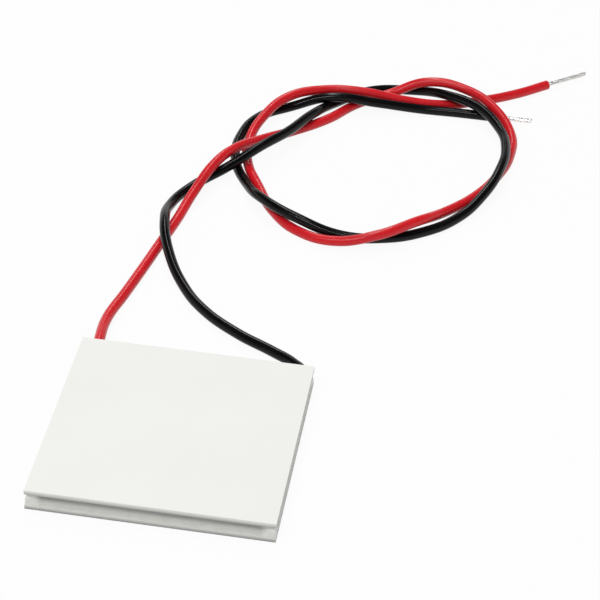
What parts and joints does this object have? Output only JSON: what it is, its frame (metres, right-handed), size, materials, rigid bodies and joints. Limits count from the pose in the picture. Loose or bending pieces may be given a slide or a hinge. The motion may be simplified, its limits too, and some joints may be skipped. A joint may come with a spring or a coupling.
{
  "type": "thermoelectric cooling module",
  "caption": "Flat square cooling module: pellets and copper tabs between two white ceramic plates, sealed at the edge, with loose red and black leads.",
  "frame": {"origin": "centre of the hot plate's outer face, on which the module lies", "axes": "+Z from the hot plate to the cold plate, the leads leave along +Y, the red lead at -X"},
  "size_m": [0.0808, 0.1526, 0.005],
  "materials": {
    "white_ceramic": "matt fired alumina",
    "white_silicone": "cured silicone, slightly glossy",
    "copper": "bare copper",
    "n_alloy": "sawn, dull metallic",
    "p_alloy": "sawn, dull metallic",
    "solder": "bright solder",
    "tinned_wire": "tinned strands",
    "red_vinyl": "glossy flexible vinyl",
    "black_vinyl": "glossy flexible vinyl"
  },
  "bodies": {
    "root": {"hot_plate": "white_ceramic", "cold_plate": "white_ceramic", "edge_seal": "white_silicone", "hot_tabs": "copper", "red_lead_pad": "copper", "black_lead_pad": "copper", "cold_column_tabs": "copper", "cold_far_links": "copper", "cold_near_links": "copper", "n_pellets_1": "n_alloy", "n_pellets_2": "n_alloy", "n_pellets_3": "n_alloy", "n_pellets_4": "n_alloy", "n_pellets_5": "n_alloy", "n_pellets_6": "n_alloy", "n_pellets_7": "n_alloy", "n_pellets_8": "n_alloy", "n_pellets_9": "n_alloy", "n_pellets_10": "n_alloy", "n_pellets_11": "n_alloy", "n_pellets_12": "n_alloy", "n_pellets_13": "n_alloy", "n_pellets_14": "n_alloy", "n_pellets_15": "n_alloy", "n_pellets_16": "n_alloy", "p_pellets_1": "p_alloy", "p_pellets_2": "p_alloy", "p_pellets_3": "p_alloy", "p_pellets_4": "p_alloy", "p_pellets_5": "p_alloy", "p_pellets_6": "p_alloy", "p_pellets_7": "p_alloy", "p_pellets_8": "p_alloy", "p_pellets_9": "p_alloy", "p_pellets_10": "p_alloy", "p_pellets_11": "p_alloy", "p_pellets_12": "p_alloy", "p_pellets_13": "p_alloy", "p_pellets_14": "p_alloy", "p_pellets_15": "p_alloy", "p_pellets_16": "p_alloy", "red_lead": "red_vinyl", "red_lead_tip": "tinned_wire", "red_lead_core": "tinned_wire", "red_lead_solder": "solder", "black_lead": "black_vinyl", "black_lead_tip": "tinned_wire", "black_lead_core": "tinned_wire", "black_lead_solder": "solder"}
  },
  "joints": []
}
